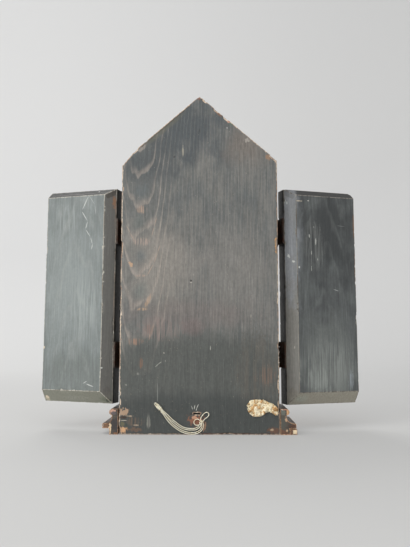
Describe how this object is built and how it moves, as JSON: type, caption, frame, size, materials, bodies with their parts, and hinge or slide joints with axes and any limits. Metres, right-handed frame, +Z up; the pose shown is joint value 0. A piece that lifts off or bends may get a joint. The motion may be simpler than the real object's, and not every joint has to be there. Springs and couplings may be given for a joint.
{
  "type": "triptych altarpiece",
  "caption": "Small folding wooden altarpiece: a gabled case on a moulded base, with a bevelled wing hinged on each side. The back is painted dark and carries a knotted string.",
  "frame": {"origin": "centre of the base's underside, midway between the back and the front of the base", "axes": "+Z up to the gable's point; -Y is the front, which the wings close over; +Y is the painted back"},
  "size_m": [0.3242, 0.0642, 0.336],
  "materials": {
    "back_paint": "thin black-grey paint on wood, worn",
    "frame_paint": "dark paint with worn gilt edges",
    "base_moulding": "worn paint and bare wood",
    "wing_paint": "slate-grey paint, scuffed",
    "hinge_iron": "dark iron, rubbed",
    "cotton_string": "undyed twisted thread",
    "plaster": "lumpy dried plaster"
  },
  "bodies": {
    "case": {"back_board": "back_paint", "frame_stile_right": "frame_paint", "frame_stile_left": "frame_paint", "frame_rake_right": "frame_paint", "frame_rake_left": "frame_paint", "frame_rail_lower": "frame_paint", "frame_rail_upper": "frame_paint", "base_block": "frame_paint", "base_moulding_front": "base_moulding", "base_moulding_left": "base_moulding", "base_moulding_right": "base_moulding", "plinth_strip_front": "base_moulding", "plinth_strip_left": "base_moulding", "hinge_right_upper_case_leaf": "hinge_iron", "hinge_right_upper_pin": "hinge_iron", "hinge_right_lower_case_leaf": "hinge_iron", "hinge_right_lower_pin": "hinge_iron", "hinge_left_upper_case_leaf": "hinge_iron", "hinge_left_upper_pin": "hinge_iron", "hinge_left_lower_case_leaf": "hinge_iron", "hinge_left_lower_pin": "hinge_iron", "string_upper_inner": "cotton_string", "string_upper_outer": "cotton_string", "string_lower_inner": "cotton_string", "string_lower_outer": "cotton_string", "string_knot": "cotton_string", "string_end_knot": "cotton_string", "plaster_patch": "plaster"},
    "right_wing": {"wing_right": "wing_paint", "hinge_right_upper_wing_leaf": "hinge_iron", "hinge_right_lower_wing_leaf": "hinge_iron"},
    "left_wing": {"wing_left": "wing_paint", "hinge_left_upper_wing_leaf": "hinge_iron", "hinge_left_lower_wing_leaf": "hinge_iron"}
  },
  "joints": [
    {"name": "right_wing_hinge", "type": "hinge", "parent": "case", "child": "right_wing", "pos_m": [0.0797, -0.00425, 0.1385], "axis": [0, 0, -1], "range_deg": [-20.1, 162.4]},
    {"name": "left_wing_hinge", "type": "hinge", "parent": "case", "child": "left_wing", "pos_m": [-0.0797, -0.00425, 0.1385], "axis": [0, 0, 1], "range_deg": [-20.8, 161.7]}
  ]
}
